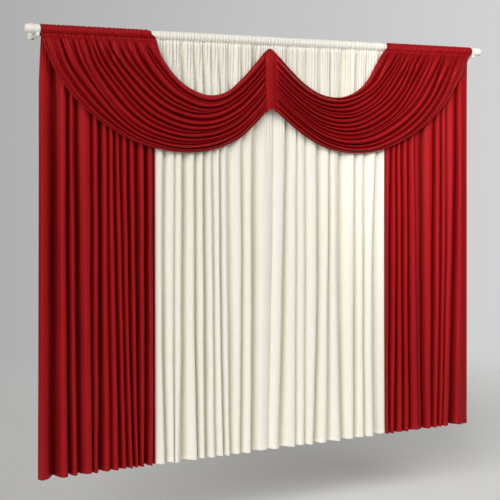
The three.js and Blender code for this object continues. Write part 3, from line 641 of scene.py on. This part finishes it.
def swag_profile(pleats, spread, seed):
    """The pleats across a swag at every place: share of the way down, and y behind the swag's cloth."""
    places = SWAG_PLACES
    growth = np.interp(places, PLEAT_GROWTH_PLACE, PLEAT_GROWTH_SHARE)
    v = [np.zeros_like(places)]
    forward = [np.full_like(places, SWAG_EDGE_STAND)]
    for i, pleat in enumerate(pleats):
        drift = PLEAT_DRIFT * wander(places, PLEAT_DRIFT_PITCH, seed + i)
        v.append(read_pleat(pleat.ridge, places) + drift)
        v.append(read_pleat(pleat.crease, places) + drift)
        there = read_pleat(pleat.there, places)
        stand_swell = swelling(places, STAND_SWELL, STAND_SWELL_PITCH, seed + 30 + i)
        sink_swell = swelling(places, SINK_SWELL, SINK_SWELL_PITCH, seed + 60 + i)
        forward.append(pleat.stand * there * stand_swell)
        forward.append(-pleat.sink * there * sink_swell)
    v.append(np.ones_like(places))
    forward.append(np.full_like(places, SWAG_EDGE_STAND))
    v = np.maximum.accumulate(np.array(v).T, axis=1)
    forward = np.array(forward).T
    pitch = np.empty_like(v)
    pitch[:, 1:-1] = v[:, 2:] - v[:, :-2]
    pitch[:, 0], pitch[:, -1] = pitch[:, 1], pitch[:, -2]
    narrow = np.minimum(1, pitch * spread / PLEAT_FULL_WIDTH)
    forward = PLEAT_DEPTH * forward * narrow * growth[:, None]
    anchors = np.stack([v, -forward, np.zeros_like(v)], -1)
    widths = (np.diff(v, axis=1) * spread).mean(0)
    counts = [int(max(4, round(width / SWAG_STEP))) for width in widths]
    profile = soften(arched(anchors, counts, SWAG_ROUND))
    return profile[:, :, 0], profile[:, :, 1]


def swag_grid(stations, pleats, ends, seed):
    """Points of one swag: its pocket rows, then its pleats round to the middle."""
    places = SWAG_PLACES
    edges = through(stations, places)
    spread = np.hypot(edges[:, 2] - edges[:, 0], edges[:, 3] - edges[:, 1])[:, None]
    share, offset = swag_profile(pleats, spread, seed)
    x = edges[:, 0:1] + (edges[:, 2] - edges[:, 0])[:, None] * share
    z = edges[:, 1:2] + (edges[:, 3] - edges[:, 1])[:, None] * share
    early = np.interp(places, START_PLACE, START_SHARE)[:, None]
    late = np.interp(places, END_PLACE, END_SHARE)[:, None]
    start = ends.inner_seam + (ends.outer - ends.inner_seam) * share
    offset = offset - START_DEPTH * early * (START_MEAN + gathers(start, SWAG_POCKET.pitch, seed + 7))
    offset = offset - END_DEPTH * late * gathers(z, END_PITCH, seed + 9)
    curl = np.exp(-share * spread / SWAG_CURL_REACH) + np.exp(-(1 - share) * spread / SWAG_CURL_REACH)
    away = np.interp(places, SWAG_EDGE_PLACE, SWAG_EDGE_SHARE)[:, None]
    offset = offset + SWAG_CURL * curl * away
    from_edge = np.minimum(share, 1 - share) * spread
    groove = np.exp(-((from_edge - SWAG_HEM_DEPTH) / SWAG_HEM_WIDTH) ** 2)
    offset = offset + SWAG_HEM_GROOVE * groove * away
    y = hang_y(z) + offset
    body = np.stack([at_depth(x, EYE.x, y), y, at_depth(z, EYE.z, y)], -1)

    def line_x(near_seam):
        inner = ends.inner_top + (ends.inner_seam - ends.inner_top) * near_seam ** 2
        return inner + (ends.outer - inner) * share[0]

    return np.concatenate([pocket_rows(SWAG_POCKET, start[0], line_x, 1, seed + 7), body], 0)


def tab_grid():
    """Points of the crowned tab, from its top edge down, with fine puckers across it."""
    columns = np.linspace(0, len(TAB_COLUMNS) - 1, TAB_ACROSS)
    across = through(TAB_COLUMNS, columns)
    t = np.linspace(0, 1, TAB_DOWN)[:, None]
    x = across[:, 0] + (across[:, 1] - across[:, 0]) * t
    z = across[:, 2] + (across[:, 3] - across[:, 2]) * t
    crown = across[:, 4] * (1 - TAB_TOP_DROP * np.exp(-t / TAB_TOP_REACH))
    side = np.abs(columns / (len(TAB_COLUMNS) - 1) * 2 - 1)
    pucker = TAB_PUCKER * gathers(z + TAB_SLANT * side ** 2, TAB_PUCKER_PITCH, TAB_SEED)
    pucker = pucker * (0.5 + 0.5 * side)
    y = hang_y(z) - TAB_PROUD - crown - (pucker + TAB_STREAK * gathers(x, TAB_STREAK_PITCH, TAB_SEED + 1))
    return np.stack([at_depth(x, EYE.x, y), y, at_depth(z, EYE.z, y)], -1)


def node_adder(tree):
    """A function that adds a shader node to the tree, with its settings and its linked or set inputs."""
    def add(kind, inputs=None, **settings):
        node = tree.nodes.new("ShaderNode" + kind)
        for key, value in settings.items():
            setattr(node, key, value)
        for key, value in (inputs or {}).items():
            socket = node.inputs[key]
            if isinstance(value, bpy.types.NodeSocket):
                tree.links.new(value, socket)
            else:
                socket.default_value = value
        return node

    return add


def shader(name):
    """A node material, with its Principled shader, its links and a function that adds nodes."""
    material = bpy.data.materials.new(name)
    material.use_nodes = True
    tree = material.node_tree
    return material, tree.nodes["Principled BSDF"], tree.links, node_adder(tree)


def rgba(colour):
    return (*colour, 1)


def blend(add, amount, low, high):
    """The colour between low and high at the amount."""
    tint = add("Mix", {"Factor": amount}, data_type="RGBA")
    tint.inputs["A"].default_value = rgba(low)
    tint.inputs["B"].default_value = rgba(high)
    return tint.outputs["Result"]


def cloth_material(name, colour, deep, gloss, level, roughness):
    """Fine knitted jersey: wales and courses in the bump, uneven dye, painted shade in the folds' hollows
    and along the sunk stitches, and a soft sheen."""
    material, surface, links, add = shader(name)
    place = add("UVMap", uv_map="Cloth").outputs["UV"]
    body = add("TexCoord").outputs["Object"]

    def math_of(operation, *values):
        return add("Math", dict(enumerate(values)), operation=operation).outputs[0]

    def bands(scale, distortion, direction):
        return add("TexWave", {"Vector": place, "Scale": scale, "Distortion": distortion, "Detail": 1.0},
                   wave_type="BANDS", bands_direction=direction, wave_profile="SIN").outputs["Fac"]

    knit = math_of("MULTIPLY", bands(WALES, 0.6, "X"), bands(COURSES, 0.8, "Y"))
    cloud = add("TexNoise", {"Vector": body, "Scale": 5.0, "Detail": 4.0, "Roughness": 0.55})
    yarn = add("TexNoise", {"Vector": place, "Scale": 900.0, "Detail": 2.0, "Roughness": 0.6})
    dye = math_of("ADD", math_of("MULTIPLY", cloud.outputs["Fac"], 0.7),
                  math_of("MULTIPLY", yarn.outputs["Fac"], 0.3))
    ramp = add("MapRange", {"Value": dye, "From Min": 0.3, "From Max": 0.7, "To Min": 0.7, "To Max": 1.0})
    # Painted shade: the colour darkens towards the darker one where the cloth lies deep in the hollow of a
    # fold
    hollow_shade_mask = add("Attribute", attribute_name="hollow_shade").outputs["Fac"]
    dye_and_hollow_shade = math_of("MULTIPLY", ramp.outputs[0], math_of("SUBTRACT", 1.0, hollow_shade_mask))

    from_line = math_of("ABSOLUTE", add("Attribute", attribute_name="stitch").outputs["Fac"])
    groove = add("MapRange", {"Value": from_line, "From Min": 0.0, "From Max": STITCH_WIDTH,
                              "To Min": 1.0, "To Max": 0.0}, interpolation_type="SMOOTHSTEP").outputs[0]
    stitches = add("TexWave", {"Vector": place, "Scale": STITCHES, "Distortion": 0.0},
                   wave_type="BANDS", bands_direction="DIAGONAL", wave_profile="SIN")
    thread = math_of("MULTIPLY", groove, stitches.outputs["Fac"])
    # Painted shade along the sunk stitch lines: there the colour goes halfway to the darker one
    beside = math_of("SUBTRACT", 1.0, math_of("MULTIPLY", groove, 0.5))
    links.new(blend(add, math_of("MULTIPLY", dye_and_hollow_shade, beside), deep, colour), surface.inputs["Base Color"])

    bump = add("Bump", {"Height": knit, "Strength": 0.35, "Distance": KNIT_DEPTH})
    seam = add("Bump", {"Height": math_of("SUBTRACT", thread, groove), "Strength": 0.7,
                        "Distance": STITCH_DEPTH, "Normal": bump.outputs["Normal"]})
    links.new(seam.outputs["Normal"], surface.inputs["Normal"])
    rough = add("MapRange", {"Value": cloud.outputs["Fac"],
                             "To Min": roughness - 0.05, "To Max": roughness + 0.05})
    links.new(rough.outputs[0], surface.inputs["Roughness"])
    surface.inputs["Specular IOR Level"].default_value = level
    surface.inputs["Specular Tint"].default_value = rgba(gloss)
    surface.inputs["Sheen Weight"].default_value = 0.1
    surface.inputs["Sheen Roughness"].default_value = 0.4
    surface.inputs["Sheen Tint"].default_value = rgba(colour)
    return material


def paint_material(name, colour, roughness):
    """Satin white with a faint unevenness."""
    material, surface, links, add = shader(name)
    body = add("TexCoord").outputs["Object"]
    cloud = add("TexNoise", {"Vector": body, "Scale": 30.0, "Detail": 3.0}).outputs["Fac"]
    grain = add("TexNoise", {"Vector": body, "Scale": 900.0, "Detail": 2.0}).outputs["Fac"]
    links.new(blend(add, cloud, tuple(c * 0.94 for c in colour), colour), surface.inputs["Base Color"])
    rough = add("MapRange", {"Value": cloud, "To Min": roughness - 0.05, "To Max": roughness + 0.07})
    links.new(rough.outputs[0], surface.inputs["Roughness"])
    bump = add("Bump", {"Height": grain, "Strength": 0.12, "Distance": 0.0001})
    links.new(bump.outputs["Normal"], surface.inputs["Normal"])
    return material


def stage_material():
    """A pale floor that fades away into the surround far from the object."""
    material, surface, links, add = shader("stage_floor")
    surface.inputs["Base Color"].default_value = rgba(STAGE_GREY)
    surface.inputs["Roughness"].default_value = 0.85
    reach = add("VectorMath", {0: add("TexCoord").outputs["Object"]}, operation="LENGTH")
    fade = add("MapRange", {"Value": reach.outputs["Value"], "From Min": 1.6, "From Max": FLOOR_REACH},
               interpolation_type="SMOOTHERSTEP")
    clear = add("BsdfTransparent")
    mix = add("MixShader", {0: fade.outputs[0], 1: surface.outputs[0], 2: clear.outputs[0]})
    links.new(mix.outputs[0], material.node_tree.nodes["Material Output"].inputs["Surface"])
    return material


def smooth_group():
    """A node group that joins a piece's points and shades it smoothly, apart from its real edges."""
    group = bpy.data.node_groups.new("smooth_rounds", "GeometryNodeTree")
    group.interface.new_socket("Geometry", in_out="INPUT", socket_type="NodeSocketGeometry")
    group.interface.new_socket("Geometry", in_out="OUTPUT", socket_type="NodeSocketGeometry")
    nodes, links = group.nodes, group.links
    source, target = nodes.new("NodeGroupInput"), nodes.new("NodeGroupOutput")
    merge = nodes.new("GeometryNodeMergeByDistance")
    merge.inputs["Distance"].default_value = WELD
    faces = nodes.new("GeometryNodeSetShadeSmooth")
    faces.domain = "FACE"
    edges = nodes.new("GeometryNodeSetShadeSmooth")
    edges.domain = "EDGE"
    edges.inputs["Shade Smooth"].default_value = False
    angle = nodes.new("GeometryNodeInputMeshEdgeAngle")
    sharp = nodes.new("FunctionNodeCompare")
    sharp.operation = "GREATER_THAN"
    sharp.inputs["B"].default_value = math.radians(SHARP_DEGREES)
    links.new(source.outputs[0], merge.inputs["Geometry"])
    links.new(merge.outputs["Geometry"], faces.inputs["Geometry"])
    links.new(faces.outputs["Geometry"], edges.inputs["Geometry"])
    links.new(angle.outputs["Unsigned Angle"], sharp.inputs["A"])
    links.new(sharp.outputs["Result"], edges.inputs["Selection"])
    links.new(edges.outputs["Geometry"], target.inputs[0])
    return group


def make_camera():
    """The camera that sees the curtain as the photo does."""
    data = bpy.data.cameras.new("eye")
    data.sensor_width = SENSOR
    data.lens = LENS
    data.shift_y = SHIFT_DOWN
    camera = bpy.data.objects.new("eye", data)
    camera.location = EYE * MM
    camera.rotation_euler = (math.radians(90), 0, EYE_TURN)
    bpy.context.scene.collection.objects.link(camera)
    bpy.context.scene.camera = camera


def make_stage():
    """A wide pale floor where the room's floor would be."""
    mesh = bpy.data.meshes.new("stage_floor")
    shape = bmesh.new()
    bmesh.ops.create_circle(shape, cap_ends=True, radius=FLOOR_REACH, segments=96)
    shape.to_mesh(mesh)
    shape.free()
    floor = bpy.data.objects.new("stage_floor", mesh)
    floor.location.z = FLOOR_Z * MM
    mesh.materials.append(stage_material())
    bpy.context.scene.collection.objects.link(floor)


def add_light(name, kind, power, toward, place=(0, 0, 0), **settings):
    """A lamp at a place that shines the way of the vector toward, both in metres."""
    data = bpy.data.lights.new(name, kind)
    data.energy = power
    data.color = LAMP
    for key, value in settings.items():
        setattr(data, key, value)
    light = bpy.data.objects.new(name, data)
    light.location = place
    light.rotation_euler = toward.to_track_quat("-Z", "Y").to_euler()
    bpy.context.scene.collection.objects.link(light)


def area_light(name, place, target, size, power):
    add_light(name, "AREA", power, Vector(target) - Vector(place), place, shape="DISK", size=size)


def spot_light(name, place, target, radius, width, power):
    """A soft-edged lamp that lights one side of the curtain."""
    add_light(name, "SPOT", power, Vector(target) - Vector(place), place,
              shadow_soft_size=radius, spot_size=math.radians(width), spot_blend=1)


def far_light(name, side, width, strength):
    """A large lamp so far away that it lights every part of the curtain alike."""
    add_light(name, "SUN", strength, -Vector(side), angle=math.radians(width))


def make_light():
    """Soft lamps from the left, the front and the right, and a grey surround that is paler behind the
    curtain's right side and ahead of it."""
    far_light("far_lamp", *FAR_LAMP)
    area_light("front_lamp", *FRONT_LAMP)
    area_light("right_lamp", *RIGHT_LAMP)
    spot_light("right_spot", *RIGHT_SPOT)
    world = bpy.data.worlds.new("surround")
    world.use_nodes = True
    add = node_adder(world.node_tree)
    axes = add("SeparateXYZ", {0: add("TexCoord").outputs["Generated"]})
    behind = add("MapRange", {"Value": axes.outputs["Y"],
                              "From Min": BACKDROP_START, "From Max": BACKDROP_FULL})
    across = add("MapRange", {"Value": axes.outputs["X"],
                              "From Min": BACKDROP_LEFT, "From Max": BACKDROP_RIGHT,
                              "To Min": BACKDROP_DARK, "To Max": BACKDROP_PALE})
    ahead = add("MapRange", {"Value": axes.outputs["Y"], "From Min": BACKDROP_START, "From Max": -1.0,
                             "To Min": SIDE_GREY, "To Max": FRONT_GREY})
    grey = add("Mix", {"Factor": behind.outputs[0], 2: ahead.outputs[0], 3: across.outputs[0]},
               data_type="FLOAT")
    world.node_tree.links.new(grey.outputs[0], world.node_tree.nodes["Background"].inputs["Color"])
    bpy.context.scene.world = world
    bpy.context.scene.view_settings.view_transform = "Standard"


make_camera()
make_light()
make_stage()

red = cloth_material("red_jersey", RED, RED_DYE_AND_HOLLOW_SHADE, RED_GLOSS, level=1.0, roughness=0.46)
cream = cloth_material("cream_jersey", CREAM, CREAM_DYE_AND_HOLLOW_SHADE, CREAM_GLOSS, level=0.2, roughness=0.7)
white = paint_material("rod_white", WHITE, roughness=0.38)
plastic = paint_material("fitting_white", WHITE, roughness=0.45)

panel_lines = [("v", -HEM_LINE), ("v", PANEL_POCKET.length)]
swag_lines = [("u", SWAG_LINE), ("u", -SWAG_LINE), ("v", SWAG_POCKET.length)]
panel_left = cloth_piece("cloth_panel_left", panel_grid(
    LEFT_FOLDS, LEFT_CREASES, OUTER_LEFT, SEAM_LEFT, (0, -SEAM_TRIM), OUTER_GATHER, seed=100),
    red, panel_lines + [("u", SIDE_LINE)])
panel_centre = cloth_piece("cloth_panel_centre", panel_grid(
    CENTRE_FOLDS, CENTRE_CREASES, SEAM_LEFT, SEAM_RIGHT, (SEAM_TRIM, -SEAM_TRIM), gather=1, seed=200),
    cream, panel_lines)
panel_right = cloth_piece("cloth_panel_right", panel_grid(
    RIGHT_FOLDS, RIGHT_CREASES, SEAM_RIGHT, OUTER_RIGHT, (SEAM_TRIM, 0), OUTER_GATHER, seed=300),
    red, panel_lines + [("u", -SIDE_LINE)])
swag_left = cloth_piece("cloth_swag_left", swag_grid(
    LEFT_STATIONS, LEFT_PLEATS, LEFT_SWAG_POCKET, seed=400), red, swag_lines)
swag_right = cloth_piece("cloth_swag_right", swag_grid(
    RIGHT_STATIONS, RIGHT_PLEATS, RIGHT_SWAG_POCKET, seed=500), red, swag_lines)
tab = cloth_piece("cloth_tab", tab_grid(), red,
                  [("u", TAB_LINE), ("u", -TAB_LINE)], fold_axis=0)

SHEETS = [
    (panel_left, "panel_left", (0.67, 1.77), ["rod"]),
    (panel_centre, "panel_centre", (1.59, 1.77), ["rod"]),
    (panel_right, "panel_right", (0.63, 1.77), ["rod"]),
    (swag_left, "swag_left", (0.57, 1.05), ["rod", "cloth_panel_left"]),
    (swag_right, "swag_right", (0.65, 1.09), ["rod", "cloth_panel_right"]),
    (tab, "swag_tab", (0.06, 0.26), ["cloth_swag_left", "cloth_swag_right"]),
]
for piece, node, cut, carriers in SHEETS:
    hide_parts(node)

rounds = smooth_group()
for node, finish in (("rod", white), ("bracket_left", plastic), ("bracket_right", plastic),
                     ("finial_left", plastic), ("finial_right", plastic)):
    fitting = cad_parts[node]
    for material_slot in fitting.material_slots:
        material_slot.material = finish
    fitting.modifiers.new("Smooth rounds", "NODES").node_group = rounds
